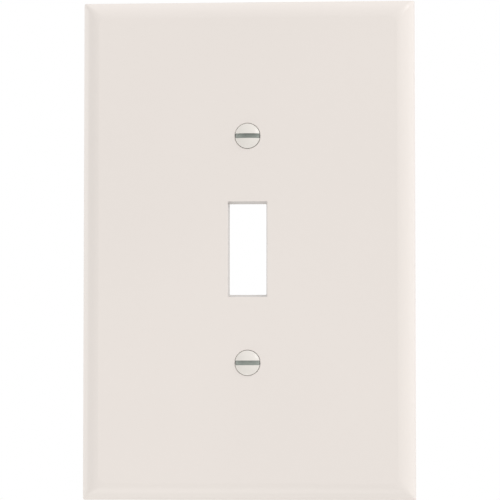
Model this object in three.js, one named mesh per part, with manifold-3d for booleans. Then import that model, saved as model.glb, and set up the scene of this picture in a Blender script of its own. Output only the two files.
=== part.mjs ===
// Oversize single-gang toggle wall plate with its two oval-head screws.
//
// The design is laid out as it lies face up on a bench: x runs across the plate, y up it, and z is the
// height above the wall. The last lines stand it up, so that it faces -Y and the wall is the plane y = 0.
// All sizes are in millimetres.

import * as THREE from 'three';
import Module from 'manifold-3d';
import { mergeVertices } from 'three/addons/utils/BufferGeometryUtils.js';
import { ParametricGeometry } from 'three/addons/geometries/ParametricGeometry.js';

// The plate: a shallow moulded tray with a crowned border.
const plateWidth = 88.9;
const plateHeight = 133.35;
const plateDepth = 6.35;
const cornerRadius = 0.5;
const rimWidth = 2.2;
const panelThickness = 2.3;
const recessFillet = 1.4;
const recessCorner = 0.7;

// The border rises from an upright foot in an elliptical arc, and meets the flat face at a faint crease.
const footHeight = 0.6;
const borderWidth = 4.8;
const creaseAngle = THREE.MathUtils.degToRad(5);

// The toggle opening, at the face, and how much it closes in on each side towards the back.
const openingWidth = 10.5;
const openingHeight = 25.4;
const openingCorner = 0.25;
const sideDraft = 0.35;
const endDraft = 0.6;

// The back: everything that stands off the panel stops short of the wall, to leave room for the strap.
const strapRoom = 1.6;
const collarStep = 1.0;
const collarWall = 1.4;
const ribThickness = 1.2;
const crossRibHeight = 7.0;
const ejectorRadius = 2.2;
const ejectorDepth = 0.15;

// The screws: number 6-32, half an inch long under the rim of an 82 degree oval head. The thread's depth
// and flat crest follow from its pitch, and the foot of its ridge is buried a little way in the core.
const screwSpacing = 60.325;
const threadDiameter = 3.45;
const threadPitch = 25.4 / 32;
const threadFlank = THREE.MathUtils.degToRad(30);
const threadDepth = 0.6134 * threadPitch;
const threadCrest = threadPitch / 8;
const ridgeBurial = threadDepth / 4;
const screwLength = 12.7;
const headDiameter = 6.6;
const headAngle = THREE.MathUtils.degToRad(82);
const headLand = 0.15;
const crownHeight = 0.8;
const slotWidth = 1.22;
const slotDepth = 1.1;
const tipChamfer = 0.5;
const runOutTurns = 0.6;

// Clearances between the screws and the plate.
const headClearance = 0.25;
const headSink = 0.05;
const shankClearance = 0.28;
const bossWall = 2.7;

// How finely the round shapes are divided.
const borderSteps = 10;
const filletSteps = 3;
const cornerSteps = 5;
const roundSteps = 24;
const crownSteps = 4;
const turnSteps = 12;
const ejectorSteps = 16;

// Cutters run this far past the faces that they cut.
const overcut = 1;

const wasm = await Module();
wasm.setup();

// ---- from three.js geometry to solids and back ----

// A solid from a closed geometry. Triangles that a pole has squeezed flat are dropped.
function solidOf(geometry) {
  const bare = geometry.clone();
  bare.deleteAttribute('normal');
  bare.deleteAttribute('uv');
  const merged = mergeVertices(bare, 1e-5);
  const index = merged.index.array;
  const corners = [];
  for (let i = 0; i < index.length; i += 3) {
    const [a, b, c] = index.slice(i, i + 3);
    if (a !== b && b !== c && c !== a) corners.push(a, b, c);
  }
  const vertProperties = new Float32Array(merged.attributes.position.array);
  const triVerts = new Uint32Array(corners);
  return new wasm.Manifold(new wasm.Mesh({ numProp: 3, vertProperties, triVerts }));
}

function geometryOf(solid) {
  const mesh = solid.getMesh();
  const geometry = new THREE.BufferGeometry();
  geometry.setAttribute('position', new THREE.BufferAttribute(new Float32Array(mesh.vertProperties), 3));
  geometry.setIndex(new THREE.BufferAttribute(new Uint32Array(mesh.triVerts), 1));
  geometry.computeVertexNormals();
  return geometry;
}

// ---- shapes that the pieces share ----

function roundedRectangle(width, height, radius) {
  const x = width / 2 - radius;
  const y = height / 2 - radius;
  const shape = new THREE.Shape();
  shape.absarc(x, y, radius, 0, Math.PI / 2);
  shape.absarc(-x, y, radius, Math.PI / 2, Math.PI);
  shape.absarc(-x, -y, radius, Math.PI, 1.5 * Math.PI);
  shape.absarc(x, -y, radius, 1.5 * Math.PI, 2 * Math.PI);
  return shape;
}

// A straight prism with rounded corners, from height z0 to height z1.
function prism(width, height, radius, z0, z1) {
  const shape = roundedRectangle(width, height, radius);
  const options = { depth: z1 - z0, bevelEnabled: false, curveSegments: cornerSteps };
  return solidOf(new THREE.ExtrudeGeometry(shape, options).translate(0, 0, z0));
}

// A prism whose two ends are rounded over. It is straight from z0 to z1, and each end then curves in by
// `inset` over a height of `rise`, as a quarter of an ellipse.
function roundedPrism(shape, z0, z1, inset, rise, steps) {
  const options = {
    depth: z1 - z0,
    bevelSize: inset,
    bevelThickness: rise,
    bevelSegments: steps,
    curveSegments: cornerSteps,
  };
  return solidOf(new THREE.ExtrudeGeometry(shape, options).translate(0, 0, z0));
}

// A prism that flares evenly from one size at height z0 to another at height z1.
function flaredPrism(low, high, radius, z0, z1) {
  const shape = roundedRectangle(low.width, low.height, radius);
  const options = { depth: z1 - z0, bevelEnabled: false, curveSegments: cornerSteps };
  const geometry = new THREE.ExtrudeGeometry(shape, options).translate(0, 0, z0);
  const points = geometry.attributes.position;
  for (let i = 0; i < points.count; i += 1) {
    if (points.getZ(i) > (z0 + z1) / 2) {
      points.setX(i, (points.getX(i) * high.width) / low.width);
      points.setY(i, (points.getY(i) * high.height) / low.height);
    }
  }
  return solidOf(geometry);
}

// A solid of revolution about z. Each point of the profile is [radius, height].
function turned(profile, steps) {
  const points = profile.map(([radius, height]) => new THREE.Vector2(radius, height));
  return solidOf(new THREE.LatheGeometry(points, steps).rotateX(Math.PI / 2));
}

function block(x0, x1, y0, y1, z0, z1) {
  const geometry = new THREE.BoxGeometry(x1 - x0, y1 - y0, z1 - z0);
  return solidOf(geometry.translate((x0 + x1) / 2, (y0 + y1) / 2, (z0 + z1) / 2));
}

// ---- sizes worked out from the driving ones ----

const panelBack = plateDepth - panelThickness;
const screwHeights = [screwSpacing / 2, -screwSpacing / 2];
const headRadius = headDiameter / 2;
const coneRun = Math.tan(headAngle / 2);
const sinkRadius = headRadius + headClearance;
const boreRadius = threadDiameter / 2 + shankClearance;
const bossRadius = boreRadius + bossWall;
const collarInner = { width: openingWidth + 2 * collarStep, height: openingHeight + 2 * collarStep };
const collarOuter = {
  width: collarInner.width + 2 * collarWall,
  height: collarInner.height + 2 * collarWall,
};

// The border's ellipse is the one that climbs from the foot to the face over the border's width and
// meets the face at the crease angle. `level` is how far round it the crease lies.
const borderRise = plateDepth - footHeight;
const steepness = (borderWidth * Math.tan(creaseAngle)) / borderRise;
const level = steepness / (1 - steepness);
const ellipseInset = borderWidth / (1 - level);
const ellipseRise = borderRise / Math.sqrt(1 - level * level);

// ---- the wall plate ----

function plateBlank() {
  const top = new THREE.Shape();
  const x = plateWidth / 2 - ellipseInset;
  const y = plateHeight / 2 - ellipseInset;
  top.moveTo(x, y);
  top.lineTo(-x, y);
  top.lineTo(-x, -y);
  top.lineTo(x, -y);
  top.closePath();
  const crowned = roundedPrism(top, 0, footHeight, ellipseInset, ellipseRise, borderSteps);
  return crowned.intersect(prism(plateWidth, plateHeight, cornerRadius, 0, plateDepth));
}

function recess() {
  const width = plateWidth - 2 * (rimWidth + recessFillet);
  const height = plateHeight - 2 * (rimWidth + recessFillet);
  const shape = roundedRectangle(width, height, recessCorner);
  return roundedPrism(shape, 0, panelBack - recessFillet, recessFillet, recessFillet, filletSteps);
}

// The collar round the opening, the screw bosses and the ribs that tie them to the rim.
function backWork() {
  const buried = panelBack + panelThickness / 2;
  const wallX = plateWidth / 2 - rimWidth / 2;
  const wallY = plateHeight / 2 - rimWidth / 2;
  const half = ribThickness / 2;
  let work = prism(collarOuter.width, collarOuter.height, collarWall, strapRoom, buried);
  const ribs = [
    block(-half, half, collarInner.height / 2 + collarWall / 2, wallY, strapRoom, buried),
    block(-half, half, -wallY, -collarInner.height / 2 - collarWall / 2, strapRoom, buried),
  ];
  for (const y of [crossRibHeight, -crossRibHeight]) {
    ribs.push(block(-wallX, wallX, y - half, y + half, strapRoom, buried));
  }
  for (const y of screwHeights) {
    ribs.push(block(-wallX, wallX, y - half, y + half, strapRoom, buried));
    const boss = [[0, strapRoom], [bossRadius, strapRoom], [bossRadius, buried], [0, buried]];
    ribs.push(turned(boss, roundSteps).translate([0, y, 0]));
  }
  for (const rib of ribs) work = work.add(rib);
  return work;
}

function screwHole(y) {
  const depthOfCone = (sinkRadius - boreRadius) / coneRun;
  const mouth = sinkRadius + overcut * coneRun;
  const profile = [
    [0, strapRoom - overcut],
    [boreRadius, strapRoom - overcut],
    [boreRadius, plateDepth - depthOfCone],
    [mouth, plateDepth + overcut],
    [0, plateDepth + overcut],
  ];
  return turned(profile, roundSteps).translate([0, y, 0]);
}

function toggleOpening() {
  const flare = overcut / panelThickness;
  const reach = 1 + flare;
  const low = { width: openingWidth - 2 * sideDraft * reach, height: openingHeight - 2 * endDraft * reach };
  const high = {
    width: openingWidth + 2 * sideDraft * flare,
    height: openingHeight + 2 * endDraft * flare,
  };
  const slit = flaredPrism(low, high, openingCorner, panelBack - overcut, plateDepth + overcut);
  const well = prism(collarInner.width, collarInner.height, openingCorner, strapRoom - overcut, panelBack);
  return slit.add(well);
}

// The shallow round marks that the mould's ejector pins leave on the back of the panel.
function ejectorMarks() {
  const marks = [];
  const x = (plateWidth / 2 + collarOuter.width / 2) / 2;
  const between = (crossRibHeight + screwSpacing / 2) / 2;
  const beyond = (screwSpacing / 2 + plateHeight / 2 - rimWidth) / 2;
  const disc = [
    [0, panelBack - overcut],
    [ejectorRadius, panelBack - overcut],
    [ejectorRadius, panelBack + ejectorDepth],
    [0, panelBack + ejectorDepth],
  ];
  for (const across of [-x, x]) {
    for (const up of [beyond, between, -between, -beyond]) {
      marks.push(turned(disc, ejectorSteps).translate([across, up, 0]));
    }
  }
  return marks;
}

function wallPlate() {
  const blank = plateBlank();
  let plate = blank.subtract(recess()).add(backWork().intersect(blank));
  plate = plate.subtract(toggleOpening());
  for (const y of screwHeights) plate = plate.subtract(screwHole(y));
  for (const mark of ejectorMarks()) plate = plate.subtract(mark);
  return geometryOf(plate);
}

// ---- the screw, with its axis on z and the rim of its head at z = 0 ----

const coreRadius = threadDiameter / 2 - threadDepth;
const coneHeight = (headRadius - coreRadius) / coneRun;
const crownTop = headLand + crownHeight;

function crownProfile() {
  const radius = (headRadius * headRadius + crownHeight * crownHeight) / (2 * crownHeight);
  const reach = Math.asin(headRadius / radius);
  const profile = [];
  for (let i = 0; i < crownSteps; i += 1) {
    const angle = reach * (1 - i / crownSteps);
    profile.push([radius * Math.sin(angle), crownTop - radius + radius * Math.cos(angle)]);
  }
  profile.push([0, crownTop]);
  return profile;
}

// The ridge of the thread is a wedge with a flat crest, carried up a helix. It grows out of the core over
// the first part of a turn and sinks back into it over the last, so that it closes to a point at each end.
function threadRidge(z0, z1) {
  const turns = (z1 - z0) / threadPitch;
  const buried = coreRadius - ridgeBurial;
  const crestHalf = threadCrest / 2;
  const footHalf = crestHalf + (threadDiameter / 2 - buried) * Math.tan(threadFlank);
  const section = [
    [buried, -footHalf],
    [threadDiameter / 2, -crestHalf],
    [threadDiameter / 2, crestHalf],
    [buried, footHalf],
  ];
  const place = (u, v, target) => {
    const [radius, offset] = section[Math.round(v * section.length) % section.length];
    const grown = Math.min(1, (u * turns) / runOutTurns, ((1 - u) * turns) / runOutTurns);
    const out = buried + (radius - buried) * grown;
    const angle = 2 * Math.PI * turns * u;
    const height = z0 + threadPitch * turns * u + offset * grown;
    target.set(out * Math.cos(angle), out * Math.sin(angle), height);
  };
  return solidOf(new ParametricGeometry(place, Math.round(turns * turnSteps), section.length));
}

function screw() {
  const profile = [
    [0, -screwLength],
    [coreRadius - tipChamfer / 2, -screwLength],
    [coreRadius, -screwLength + tipChamfer],
    [coreRadius, -coneHeight],
    [headRadius, 0],
    ...crownProfile(),
  ];
  const ridge = threadRidge(-screwLength + threadPitch, -coneHeight - threadPitch / 2);
  const slotFloor = crownTop - slotDepth;
  const reach = headRadius + overcut;
  const slot = block(-reach, reach, -slotWidth / 2, slotWidth / 2, slotFloor, crownTop + overcut);
  return geometryOf(turned(profile, roundSteps).add(ridge).subtract(slot));
}

// ---- the assembly ----

const moulding = new THREE.MeshStandardMaterial({ color: 0xe8e1db, roughness: 0.32, metalness: 0 });
const enamel = new THREE.MeshStandardMaterial({ color: 0xe6e2db, roughness: 0.22, metalness: 0.1 });

const faceUp = new THREE.Group();
const plateMesh = new THREE.Mesh(wallPlate(), moulding);
plateMesh.name = 'wall_plate';
faceUp.add(plateMesh);

const screwGeometry = screw();
['top_screw', 'bottom_screw'].forEach((name, i) => {
  const mesh = new THREE.Mesh(screwGeometry, enamel.clone());
  mesh.name = name;
  mesh.position.set(0, screwHeights[i], plateDepth - headSink);
  faceUp.add(mesh);
});

// Standing up: the plate's face turns to -Y, and the screws point into the wall along +Y.
faceUp.rotation.x = Math.PI / 2;
const wallPlateSet = new THREE.Group();
wallPlateSet.add(faceUp);

export default wallPlateSet;
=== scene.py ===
"""An oversize toggle wall plate in light almond plastic, with its two enamelled oval-head screws."""

import math

import bpy
import numpy as np
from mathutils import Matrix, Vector


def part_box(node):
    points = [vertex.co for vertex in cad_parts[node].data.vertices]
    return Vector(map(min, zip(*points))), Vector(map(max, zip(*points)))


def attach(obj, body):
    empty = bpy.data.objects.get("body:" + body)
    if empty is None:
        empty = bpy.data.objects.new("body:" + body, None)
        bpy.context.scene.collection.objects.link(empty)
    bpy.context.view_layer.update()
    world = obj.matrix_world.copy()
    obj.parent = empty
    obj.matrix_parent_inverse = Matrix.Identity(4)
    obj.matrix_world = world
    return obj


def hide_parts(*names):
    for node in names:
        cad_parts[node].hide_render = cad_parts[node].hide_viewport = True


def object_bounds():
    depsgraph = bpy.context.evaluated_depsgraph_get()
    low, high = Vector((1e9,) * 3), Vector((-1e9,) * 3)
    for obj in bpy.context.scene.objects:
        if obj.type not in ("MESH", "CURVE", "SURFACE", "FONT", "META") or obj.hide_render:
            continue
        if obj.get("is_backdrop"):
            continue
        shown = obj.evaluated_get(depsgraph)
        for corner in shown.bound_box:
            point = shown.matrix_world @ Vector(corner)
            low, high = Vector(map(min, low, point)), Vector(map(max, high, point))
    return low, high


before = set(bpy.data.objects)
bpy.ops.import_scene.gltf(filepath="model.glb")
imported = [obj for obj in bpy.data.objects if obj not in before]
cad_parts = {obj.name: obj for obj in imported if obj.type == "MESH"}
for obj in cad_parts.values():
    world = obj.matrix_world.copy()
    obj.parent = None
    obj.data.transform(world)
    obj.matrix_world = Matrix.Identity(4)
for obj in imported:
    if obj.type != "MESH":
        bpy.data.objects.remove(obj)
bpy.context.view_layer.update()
MM = 0.001

# ---------------------------------------------------------------------------------------------------
# The blank of the wall plate. It is one injection moulding in a glossy thermoplastic: a flat panel whose
# border curves back to an upright foot, with a flat rim behind that lies on the wall and a shallow recess
# inside the rim. The mould's cavity is polished, so the face is smooth, and its core is left satin.

plate_low, plate_high = (np.array(c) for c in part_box("wall_plate"))
plate_half = (plate_high - plate_low) / 2
face_y = plate_low[1]
wall_y = plate_high[1]
depth = wall_y - face_y

foot = 0.6 * MM
border = 4.8 * MM
crease = math.radians(5)
outer_corner = 0.5 * MM
crease_corner = 2.0 * MM
rim = 2.2 * MM
rim_edge = 0.15 * MM
panel = 2.3 * MM
recess_fillet = 1.4 * MM
recess_corner = 2.1 * MM
corner_steps = 12
sweep_steps = 26
edge_steps = 4
fillet_steps = 9


def rounded_loop(half_x, half_z, radius, y, centre=(0.0, 0.0), steps=corner_steps):
    """A rounded rectangle in the plane y. Each corner is a quarter circle: its centre, half size less
    the radius, plus the radius times the cosine and sine of an angle that runs through 90 degrees."""
    quarter = np.linspace(0, math.pi / 2, steps + 1)
    turn = (np.arange(4)[:, None] * math.pi / 2 + quarter).ravel()
    side_x = np.repeat([1, -1, -1, 1], steps + 1)
    side_z = np.repeat([1, 1, -1, -1], steps + 1)
    x = centre[0] + side_x * (half_x - radius) + radius * np.cos(turn)
    z = centre[1] + side_z * (half_z - radius) + radius * np.sin(turn)
    return np.stack([x, np.full_like(x, y), z], axis=1)


def stack(name, loops, ring=False):
    """A closed surface through a list of loops with equal point counts. Point j of loop i is joined to
    point j + 1 and to the same points of loop i + 1. The first and last loops are filled, or on a ring
    they are joined to each other."""
    points = np.concatenate(loops)
    count = len(loops[0])
    rows = len(loops) if ring else len(loops) - 1
    i, j = np.meshgrid(np.arange(rows), np.arange(count), indexing="ij")
    here, above = i * count, (i + 1) % len(loops) * count
    beside = (j + 1) % count
    quads = np.stack([here + j, here + beside, above + beside, above + j], axis=-1).reshape(-1, 4)
    last = len(points) - count
    caps = [] if ring else [list(range(count - 1, -1, -1)), list(range(last, len(points)))]
    mesh = bpy.data.meshes.new(name)
    mesh.from_pydata(points.tolist(), [], quads.tolist() + caps)
    mesh.update()
    if signed_volume(mesh) < 0:
        mesh.flip_normals()
    return mesh


def signed_volume(mesh):
    """Six times the volume inside a closed mesh: the sum over its triangles of a . (b x c)."""
    mesh.calc_loop_triangles()
    corners = np.empty(len(mesh.loop_triangles) * 3, np.int32)
    mesh.loop_triangles.foreach_get("vertices", corners)
    points = np.empty(len(mesh.vertices) * 3)
    mesh.vertices.foreach_get("co", points)
    a, b, c = points.reshape(-1, 3)[corners.reshape(-1, 3)].transpose(1, 0, 2)
    return float(np.einsum("ij,ij->", a, np.cross(b, c)))


def placed(name, mesh):
    piece = bpy.data.objects.new(name, mesh)
    bpy.context.scene.collection.objects.link(piece)
    return piece


def arc(radius, start, end, steps):
    """Offsets along a quarter-round edge: radius times (1 - cos, 1 - sin) of an angle from start to end."""
    angle = np.radians(np.linspace(start, end, steps))
    return radius * (1 - np.cos(angle)), radius * (1 - np.sin(angle))


# The border's curve is the ellipse that climbs from the foot to the face over the border's width and
# meets the face at the crease angle. The crease's share is its cosine round the ellipse. Two rows stand
# close together at the crease, so that the flat face keeps its own normals.
rise = depth - foot
steepness = border * math.tan(crease) / rise
crease_share = steepness / (1 - steepness)
ellipse_inset = border / (1 - crease_share)
ellipse_rise = rise / math.sqrt(1 - crease_share**2)
near_crease = [1.0, 0.985]
sweep_shares = np.concatenate([near_crease, np.linspace(0.96, 0, sweep_steps)])
sweep = sweep_shares * math.asin(rise / ellipse_rise)
insets = ellipse_inset * (1 - np.cos(sweep))
heights = ellipse_rise * np.sin(sweep)

tray = []
for inset, height in zip(insets, heights):
    corner = outer_corner + (crease_corner - outer_corner) * inset / border
    half_x, half_z = plate_half[0] - inset, plate_half[2] - inset
    tray.append(rounded_loop(half_x, half_z, corner, wall_y - foot - height))
for across, along in zip(*arc(rim_edge, 0, 90, edge_steps)):
    half_x, half_z = plate_half[0] - across, plate_half[2] - across
    tray.append(rounded_loop(half_x, half_z, outer_corner, wall_y - along))
for across, along in zip(*arc(rim_edge, 90, 0, edge_steps)):
    inset = rim - across
    tray.append(rounded_loop(plate_half[0] - inset, plate_half[2] - inset, recess_corner, wall_y - along))
for across, along in zip(*arc(recess_fillet, 0, 90, fillet_steps)):
    inset = rim + across
    half_x, half_z = plate_half[0] - inset, plate_half[2] - inset
    tray.append(rounded_loop(half_x, half_z, recess_corner - across, face_y + panel + along))
plate = placed("plate_moulding", stack("plate_moulding", tray))

# ---------------------------------------------------------------------------------------------------
# What the same mould forms behind the panel: a boss round each screw hole, a collar round the opening,
# and thin ribs that stiffen the panel and tie them to the rim. All of it stops short of the wall, to
# leave room for the switch's strap. The ejector pins leave shallow round marks between the ribs.

strap_room = 1.6 * MM
opening = np.array([10.5, 25.4]) / 2 * MM
opening_corner = 0.25 * MM
collar_step = 1.0 * MM
collar_wall = 1.4 * MM
rib = 1.2 * MM
rib_edge = 0.2 * MM
cross_rib = 7.0 * MM
bore = 2.005 * MM
boss = bore + 2.7 * MM
pin_mark = 2.2 * MM
pin_mark_depth = 0.15 * MM
root_bite = 0.15 * MM
rim_bite = 0.2 * rim
rib_roundness = 0.9
free_edge_turn = 84
free_edge_steps = 5
screw_heights = [sum(c[2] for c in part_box(node)) / 2 for node in ("top_screw", "bottom_screw")]
stand_off = wall_y - strap_room
root_y = face_y + panel - root_bite


def free_edge(half_x, half_z, radius, centre, inward=1):
    """The loops up the side of a bar from its root in the panel, and over its rounded free edge."""
    loops = [rounded_loop(half_x, half_z, radius, root_y, centre)]
    for across, along in zip(*arc(rib_edge, 0, free_edge_turn, free_edge_steps)):
        step = inward * across
        loops.append(rounded_loop(half_x - step, half_z - step, radius - step, stand_off - along, centre))
    return loops


def bar(half_x, half_z, centre):
    return stack("bar", free_edge(half_x, half_z, min(half_x, half_z) * rib_roundness, centre))


def drum(radii, levels, centre, steps=64):
    """A solid of revolution about Y: circles of the given radii at the given levels."""
    angle = np.linspace(0, 2 * math.pi, steps, endpoint=False)
    circle = np.stack([np.cos(angle), np.zeros(steps), np.sin(angle)], axis=1)
    middle = np.array([centre[0], 0, centre[1]])
    return stack("drum", [middle + r * circle + [0, y, 0] for r, y in zip(radii, levels)])


collar_in = opening + collar_step
collar_out = collar_in + collar_wall
wall_reach = plate_half - (rim - rim_bite)
outside = free_edge(*collar_out, collar_wall, (0, 0))
inside = free_edge(*collar_in, opening_corner, (0, 0), inward=-1)
joined = [stack("collar", outside + inside[::-1], ring=True)]

collar_middle = collar_in + collar_wall / 2
for side in (1, -1):
    half = (wall_reach[2] - collar_middle[1]) / 2
    joined.append(bar(rib / 2, half, (0, side * (wall_reach[2] - half))))
    half = (wall_reach[0] - collar_middle[0]) / 2
    for height in (cross_rib, -cross_rib):
        joined.append(bar(half, rib / 2, (side * (wall_reach[0] - half), height)))
edge_out, edge_back = arc(rib_edge, 0, free_edge_turn, free_edge_steps)
for height in screw_heights:
    joined.append(bar(wall_reach[0], rib / 2, (0, height)))
    joined.append(drum([boss, *(boss - edge_out)], [root_y, *(stand_off - edge_back)], (0, height)))

recess_floor = face_y + panel
mark_x = (plate_half[0] + collar_out[0]) / 2
between = (cross_rib + screw_heights[0]) / 2
beyond = (screw_heights[0] + plate_half[2] - rim) / 2
cut = []
for x in (-mark_x, mark_x):
    for z in (beyond, between, -between, -beyond):
        cut.append(drum([pin_mark, pin_mark], [recess_floor - pin_mark_depth, recess_floor + MM], (x, z)))

# ---------------------------------------------------------------------------------------------------
# The opening for the toggle and the countersunk screw holes. Their edges at the face are just broken,
# as a mould leaves them, and the opening's ends slope in more than its sides do.

opening_edge = 0.15 * MM
draft = np.array([0.35, 0.6]) * MM
sink = 3.40 * MM
sink_edge = 0.18 * MM
sink_slope = math.tan(math.radians(41))
break_turn = 78
opening_edge_steps = 7
sink_edge_steps = 5
sink_steps = 96

edge_out, edge_back = arc(opening_edge, break_turn, 0, opening_edge_steps)
slit = [rounded_loop(*(opening + edge_out[0]), opening_corner + edge_out[0], face_y - MM)]
for across, along in zip(edge_out, edge_back):
    slit.append(rounded_loop(*(opening + across), opening_corner + across, face_y + along))
for slit_y in (recess_floor, wall_y):
    slit.append(rounded_loop(*(opening - draft), opening_corner, slit_y))
cut.append(stack("slit", slit))

edge_out, edge_back = arc(sink_edge, break_turn, 0, sink_edge_steps)
cone_foot = face_y + sink_edge + (sink - bore) / sink_slope
for height in screw_heights:
    radii = [sink + edge_out[0], *(sink + edge_out), bore, bore]
    levels = [face_y - MM, *(face_y + edge_back), cone_foot, wall_y + MM]
    cut.append(drum(radii, levels, (0, height), sink_steps))


def worked(piece, joined, cut):
    """The piece with some closed meshes joined on and others then cut away, by boolean modifiers whose
    result becomes the piece's own mesh."""
    tools = []
    for operation, meshes in (("UNION", joined), ("DIFFERENCE", cut)):
        for mesh in meshes:
            tool = placed("tool", mesh)
            tools.append(tool)
            step = piece.modifiers.new(operation.lower(), "BOOLEAN")
            step.operation = operation
            step.solver = "MANIFOLD"
            step.object = tool
    seen = piece.evaluated_get(bpy.context.evaluated_depsgraph_get())
    result = bpy.data.meshes.new_from_object(seen)
    result.name = piece.name
    piece.modifiers.clear()
    piece.data = result
    if not any(result.materials):
        result.materials.clear()
    for tool in tools:
        bpy.data.meshes.remove(tool.data)


flat_weight = 80


def shaded(piece, sharp_degrees):
    """Smooth shading, broken at edges sharper than the angle. Large faces weigh most in the normals."""
    piece.data.shade_smooth()
    piece.data.set_sharp_from_angle(angle=math.radians(sharp_degrees))
    weighted = piece.modifiers.new("weighted_normals", "WEIGHTED_NORMAL")
    weighted.keep_sharp = True
    weighted.weight = flat_weight


worked(plate, joined, cut)
shaded(plate, sharp_degrees=32)

# ---------------------------------------------------------------------------------------------------
# The plate's plastic is dyed through in light almond. Its skin is glossy from the polished cavity, with
# the faintest ripple where the melt froze. The core side is satin. The opening's walls get a painted
# shade: a grey tint in their colour that stands in for the shade inside the opening.


def node_material(name):
    material = bpy.data.materials.new(name)
    material.use_nodes = True
    tree = material.node_tree
    return material, tree, tree.nodes["Principled BSDF"]


def add(tree, kind, values=None, **settings):
    """A new node, with its settings made and its input sockets set by name or number."""
    node = tree.nodes.new(kind)
    for key, value in settings.items():
        setattr(node, key, value)
    for key, value in (values or {}).items():
        node.inputs[key].default_value = value
    return node


def skin_group():
    """A node group for a moulded or coated skin. From a position it gives a slow cloud, between 0 and 1,
    for changes of tone, and a height made of long ripples and a fine grain."""
    group = bpy.data.node_groups.new("skin", "ShaderNodeTree")
    for name, kind in (("Position", "NodeSocketVector"), ("Ripple Scale", "NodeSocketFloat"),
                       ("Grain Scale", "NodeSocketFloat"), ("Grain Share", "NodeSocketFloat")):
        group.interface.new_socket(name, in_out="INPUT", socket_type=kind)
    for name in ("Cloud", "Height"):
        group.interface.new_socket(name, in_out="OUTPUT", socket_type="NodeSocketFloat")
    source = add(group, "NodeGroupInput")
    sink_node = add(group, "NodeGroupOutput")
    cloud = add(group, "ShaderNodeTexNoise", {"Detail": 3.0, "Roughness": 0.5})
    slow = add(group, "ShaderNodeMath", {1: 0.2}, operation="MULTIPLY")
    ripple = add(group, "ShaderNodeTexNoise", {"Detail": 2.0, "Roughness": 0.4})
    grain = add(group, "ShaderNodeTexNoise", {"Detail": 2.0, "Roughness": 0.6})
    blend = add(group, "ShaderNodeMix", data_type="FLOAT")
    link = group.links.new
    link(source.outputs["Ripple Scale"], slow.inputs[0])
    link(slow.outputs[0], cloud.inputs["Scale"])
    link(source.outputs["Ripple Scale"], ripple.inputs["Scale"])
    link(source.outputs["Grain Scale"], grain.inputs["Scale"])
    for texture in (cloud, ripple, grain):
        link(source.outputs["Position"], texture.inputs["Vector"])
    link(source.outputs["Grain Share"], blend.inputs[0])
    link(ripple.outputs["Fac"], blend.inputs[2])
    link(grain.outputs["Fac"], blend.inputs[3])
    link(cloud.outputs["Fac"], sink_node.inputs["Cloud"])
    link(blend.outputs[0], sink_node.inputs["Height"])
    return group


skin = skin_group()


def use_skin(tree, shader, ripple_scale, grain_scale, grain_share, bump_height, bump_strength):
    """Places the skin group on Object coordinates, sends its height to the shader's normal through a
    bump, and returns the group's node so that its cloud can tint the rest."""
    where = add(tree, "ShaderNodeTexCoord")
    values = {"Ripple Scale": ripple_scale, "Grain Scale": grain_scale, "Grain Share": grain_share}
    node = add(tree, "ShaderNodeGroup", node_tree=skin)
    for key, value in values.items():
        node.inputs[key].default_value = value
    bump = add(tree, "ShaderNodeBump", {"Strength": bump_strength, "Distance": bump_height})
    tree.links.new(where.outputs["Object"], node.inputs["Position"])
    tree.links.new(node.outputs["Height"], bump.inputs["Height"])
    tree.links.new(bump.outputs["Normal"], shader.inputs["Normal"])
    return node, where


def ramp(tree, source, low, high, colours):
    """A straight blend between two colours as the source runs from low to high."""
    node = add(tree, "ShaderNodeValToRGB")
    for element, position, colour in zip(node.color_ramp.elements, (low, high), colours):
        element.position = position
        element.color = (*colour, 1)
    tree.links.new(source, node.inputs["Fac"])
    return node.outputs["Color"]


def spread(tree, source, low, high, start, end):
    """The source's span from low to high carried over to start and end."""
    values = {"From Min": low, "From Max": high, "To Min": start, "To Max": end}
    node = add(tree, "ShaderNodeMapRange", values)
    tree.links.new(source, node.inputs["Value"])
    return node.outputs["Result"]


def within(tree, split, half, start_y):
    """1 inside an upright box about the Y axis, of the given half sizes and from start_y back; 0 outside."""
    mask = add(tree, "ShaderNodeMath", {1: start_y}, operation="GREATER_THAN")
    tree.links.new(split.outputs["Y"], mask.inputs[0])
    for axis, limit in zip("XZ", half):
        distance_out = add(tree, "ShaderNodeMath", operation="ABSOLUTE")
        side = add(tree, "ShaderNodeMath", {1: limit}, operation="LESS_THAN")
        both = add(tree, "ShaderNodeMath", operation="MULTIPLY")
        tree.links.new(split.outputs[axis], distance_out.inputs[0])
        tree.links.new(distance_out.outputs[0], side.inputs[0])
        tree.links.new(mask.outputs[0], both.inputs[0])
        tree.links.new(side.outputs[0], both.inputs[1])
        mask = both
    return mask.outputs[0]


almond = np.array([0.800, 0.742, 0.700])
plastic, tree, shader = node_material("almond_plastic")
node, where = use_skin(tree, shader, ripple_scale=60, grain_scale=2600, grain_share=0.25,
                       bump_height=0.03 * MM, bump_strength=0.25)
tones = (almond * 0.985, almond * 1.012)
split = add(tree, "ShaderNodeSeparateXYZ")
tree.links.new(where.outputs["Object"], split.inputs[0])
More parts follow.
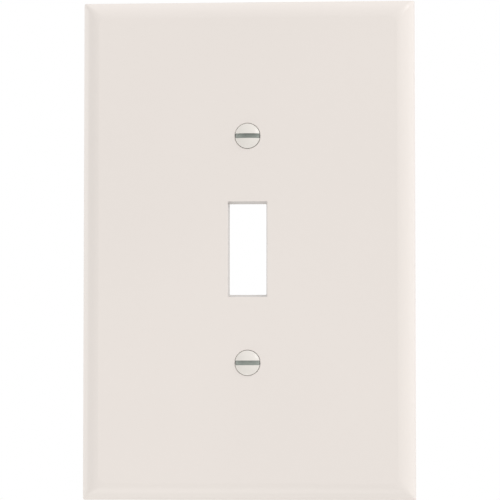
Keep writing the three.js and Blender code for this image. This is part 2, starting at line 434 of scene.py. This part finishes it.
# Painted shade: inside the opening, from just behind the face, the almond is mixed toward grey to stand in
# for the shade that falls on the opening's walls.
mask_margin = 0.05 * MM
mask_start = face_y + 0.12 * MM
wall_shade_tint = (0.73, 0.74, 0.75)
painted_shade_mask = within(tree, split, opening + mask_margin, mask_start)
painted_shade_mix = add(tree, "ShaderNodeMix", data_type="RGBA")
painted_shade_mix.inputs["B"].default_value = (*(almond * wall_shade_tint), 1)
tree.links.new(painted_shade_mask, painted_shade_mix.inputs["Factor"])
tree.links.new(ramp(tree, node.outputs["Cloud"], 0.3, 0.7, tones), painted_shade_mix.inputs["A"])
tree.links.new(painted_shade_mix.outputs["Result"], shader.inputs["Base Color"])
core_side = (face_y + 0.7 * panel, face_y + 0.95 * panel)
satin = spread(tree, split.outputs["Y"], *core_side, 0.0, 0.24)
gloss = spread(tree, node.outputs["Cloud"], 0.3, 0.7, 0.27, 0.33)
total = add(tree, "ShaderNodeMath", operation="ADD")
tree.links.new(satin, total.inputs[0])
tree.links.new(gloss, total.inputs[1])
tree.links.new(total.outputs[0], shader.inputs["Roughness"])
shader.inputs["IOR"].default_value = 1.5
plate.data.materials.append(plastic)

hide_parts("wall_plate")
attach(plate, "plate")

# ---------------------------------------------------------------------------------------------------
# The screws: cold-headed steel with a rolled 6-32 thread and zinc plating, slotted, and enamelled over
# the crown of the head to match the plate. The enamel stops at the rim, and the slot is dark bare steel.

pitch = 25.4 / 32 * MM
crest = 3.45 / 2 * MM
root = crest - 0.6134 * pitch
thread_steepness = 1.32
root_flat = 0.2
roundness = 0.35
head = 3.3 * MM
head_land = 0.15 * MM
crown = 0.8 * MM
screw_length = 12.7 * MM
tip_chamfer = 0.5 * MM
slot_half = 0.61 * MM
slot_depth = 1.1 * MM
around = 96
rows_per_turn = 14
cone_rows = 6
crown_rows = 22
top_share = 0.02


def threaded_shank(start, end):
    """Rows of a rolled thread from level start to level end: the radius is a wave round the axis whose
    phase is the height in pitches less the angle in turns. The wave is a triangle with its crest and
    root rounded off, and it fades to the root at the head and under a chamfer at the tip."""
    levels = np.linspace(start, end, int(abs(end - start) / pitch * rows_per_turn))
    angle = np.linspace(0, 2 * math.pi, around, endpoint=False)
    phase = (levels[:, None] / pitch + angle / (2 * math.pi)) % 1
    wedge = np.clip((1 - np.abs(2 * phase - 1)) * thread_steepness - root_flat, 0, 1)
    wave = wedge * wedge * (3 - 2 * wedge) * roundness + wedge * (1 - roundness)
    fade_head = np.clip((levels - end) / pitch, 0, 1)[:, None]
    taper = root - tip_chamfer / 2 + np.clip(start - levels, 0, None)[:, None]
    radius = root + (crest - root) * wave * fade_head
    radius = np.minimum(radius, taper)
    x = radius * np.cos(angle)
    z = radius * np.sin(angle)
    y = np.broadcast_to(levels[:, None], x.shape)
    return list(np.stack([x, y, z], axis=-1))


def circle_loop(radius, level):
    angle = np.linspace(0, 2 * math.pi, around, endpoint=False)
    return np.stack([radius * np.cos(angle), np.full(around, level), radius * np.sin(angle)], axis=1)


# Levels are measured from the head's rim, with the tip at +screw_length and the crown on the minus side.
cone_height = (head - root) / sink_slope
crown_radius = (head**2 + crown**2) / (2 * crown)
crown_reach = math.asin(head / crown_radius)
loops = threaded_shank(screw_length, cone_height)
loops.append(circle_loop(root, cone_height))
for share in np.linspace(0.1, 1, cone_rows):
    loops.append(circle_loop(root + (head - root) * share, cone_height * (1 - share)))
loops.append(circle_loop(head, -head_land / 2))
for angle in crown_reach * np.linspace(1, top_share, crown_rows):
    crown_y = crown_radius * (1 - math.cos(angle)) - head_land - crown
    loops.append(circle_loop(crown_radius * math.sin(angle), crown_y))
screw_shape = np.array(loops)

enamel, tree, shader = node_material("almond_enamel")
node, _ = use_skin(tree, shader, ripple_scale=420, grain_scale=5200, grain_share=0.15,
                   bump_height=0.02 * MM, bump_strength=0.3)
paint = np.array([0.790, 0.750, 0.700])
tones = (paint * 0.97, paint * 1.02)
tree.links.new(ramp(tree, node.outputs["Cloud"], 0.35, 0.65, tones), shader.inputs["Base Color"])
gloss = spread(tree, node.outputs["Cloud"], 0.35, 0.65, 0.2, 0.28)
tree.links.new(gloss, shader.inputs["Roughness"])
shader.inputs["Coat Weight"].default_value = 1.0
shader.inputs["Coat Roughness"].default_value = 0.17

zinc, tree, shader = node_material("zinc_plating")
node, _ = use_skin(tree, shader, ripple_scale=900, grain_scale=9000, grain_share=0.5,
                   bump_height=0.02 * MM, bump_strength=0.4)
tones = ((0.36, 0.37, 0.36), (0.52, 0.52, 0.49))
tree.links.new(ramp(tree, node.outputs["Cloud"], 0.3, 0.7, tones), shader.inputs["Base Color"])
gloss = spread(tree, node.outputs["Cloud"], 0.3, 0.7, 0.32, 0.48)
tree.links.new(gloss, shader.inputs["Roughness"])
shader.inputs["Metallic"].default_value = 1.0

steel, tree, shader = node_material("slot_steel")
node, _ = use_skin(tree, shader, ripple_scale=700, grain_scale=7000, grain_share=0.6,
                   bump_height=0.03 * MM, bump_strength=0.6)
tones = ((0.27, 0.29, 0.27), (0.49, 0.52, 0.48))
tree.links.new(ramp(tree, node.outputs["Cloud"], 0.35, 0.65, tones), shader.inputs["Base Color"])
gloss = spread(tree, node.outputs["Cloud"], 0.35, 0.65, 0.42, 0.6)
tree.links.new(gloss, shader.inputs["Roughness"])
shader.inputs["Metallic"].default_value = 0.6

finishes = (enamel, zinc, steel)
enamel_stop = 0.05 * MM
slot_corner = 0.05 * MM

for node_name in ("top_screw", "bottom_screw"):
    low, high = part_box(node_name)
    height = (low[2] + high[2]) / 2
    rim_y = high[1] - screw_length
    shift = np.array([0, rim_y, height])
    name = node_name.replace("_screw", "_oval_head_screw")
    screw = placed(name, stack(name, list(screw_shape + shift)))
    for material in finishes:
        screw.data.materials.append(material)
    centres = np.empty(len(screw.data.polygons) * 3)
    screw.data.polygons.foreach_get("center", centres)
    plated = (centres.reshape(-1, 3)[:, 1] > rim_y + enamel_stop).astype(np.int32) * finishes.index(zinc)
    screw.data.polygons.foreach_set("material_index", plated)
    floor_y = rim_y - head_land - crown + slot_depth
    slot_loops = [rounded_loop(head + MM, slot_half, slot_corner, slot_y, (0, height), 3)
                  for slot_y in (floor_y, floor_y - 2 * slot_depth)]
    cutter = stack("slot", slot_loops)
    for material in finishes:
        cutter.materials.append(material)
    in_slot = np.full(len(cutter.polygons), finishes.index(steel), np.int32)
    cutter.polygons.foreach_set("material_index", in_slot)
    worked(screw, [], [cutter])
    shaded(screw, sharp_degrees=40)
    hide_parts(node_name)
    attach(screw, node_name)

# ---------------------------------------------------------------------------------------------------
# A pale floor well below the plate, as it hangs at switch height, a white surround and soft lamps.

floor_mesh = bpy.data.meshes.new("floor")
reach = 12.0
drop = 1.0
corners = [(-reach, -reach, -drop), (reach, -reach, -drop), (reach, reach, -drop), (-reach, reach, -drop)]
floor_mesh.from_pydata(corners, [], [(0, 1, 2, 3)])
floor = placed("floor", floor_mesh)
floor_paint, tree, shader = node_material("pale_floor")
node, _ = use_skin(tree, shader, ripple_scale=3, grain_scale=60, grain_share=0.3,
                   bump_height=0.5 * MM, bump_strength=0.1)
tones = ((0.78, 0.78, 0.77), (0.82, 0.82, 0.81))
tree.links.new(ramp(tree, node.outputs["Cloud"], 0.3, 0.7, tones), shader.inputs["Base Color"])
shader.inputs["Roughness"].default_value = 0.8
floor_mesh.materials.append(floor_paint)
floor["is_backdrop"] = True

world = bpy.data.worlds.new("studio")
bpy.context.scene.world = world
world.use_nodes = True
tree = world.node_tree
seen = add(tree, "ShaderNodeBackground", {"Color": (1, 1, 1, 1), "Strength": 1.0})
fill = add(tree, "ShaderNodeBackground", {"Color": (1, 1, 1, 1), "Strength": 0.918})
path = add(tree, "ShaderNodeLightPath")
choice = add(tree, "ShaderNodeMixShader")
tree.links.new(path.outputs["Is Camera Ray"], choice.inputs[0])
tree.links.new(fill.outputs[0], choice.inputs[1])
tree.links.new(seen.outputs[0], choice.inputs[2])
tree.links.new(choice.outputs[0], tree.nodes["World Output"].inputs["Surface"])


def lamp(name, place, size, power):
    """A square soft lamp that faces the plate."""
    light = bpy.data.lights.new(name, "AREA")
    light.shape = "SQUARE"
    light.size = size
    light.energy = power
    holder = bpy.data.objects.new(name, light)
    holder.location = place
    direction = -np.array(place)
    holder.rotation_mode = "QUATERNION"
    holder.rotation_quaternion = Vector(direction).to_track_quat("-Z", "Y")
    bpy.context.scene.collection.objects.link(holder)


lamp("key", place=(2.05, -0.7, 1.75), size=1.4, power=19)
lamp("kicker", place=(1.2, -1.35, 0.9), size=0.7, power=2.3)
lamp("bounce", place=(-0.2, -0.35, -0.9), size=0.6, power=1.3)
lamp("left_rim", place=(-1.7, 1.0, 0.2), size=0.8, power=4.4)
lamp("right_rim", place=(1.7, 1.0, 0.2), size=0.8, power=2.0)

view = bpy.context.scene.view_settings
view.view_transform = "Standard"
view.look = "None"

yaw = math.radians(4.0)
lift = math.radians(-2.93)
distance = 0.7
view_width = 0.1339
aim = Vector((0.235 * MM, 0, 0.09 * MM))
back = Vector((math.sin(yaw) * math.cos(lift), -math.cos(yaw) * math.cos(lift), math.sin(lift)))
camera = bpy.data.objects.new("camera", bpy.data.cameras.new("camera"))
camera.data.lens = camera.data.sensor_width * distance / view_width
camera.data.clip_start = 0.1
camera.location = aim + back * distance
camera.rotation_mode = "QUATERNION"
camera.rotation_quaternion = (-back).to_track_quat("-Z", "Y")
bpy.context.scene.collection.objects.link(camera)
bpy.context.scene.camera = camera

low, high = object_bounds()
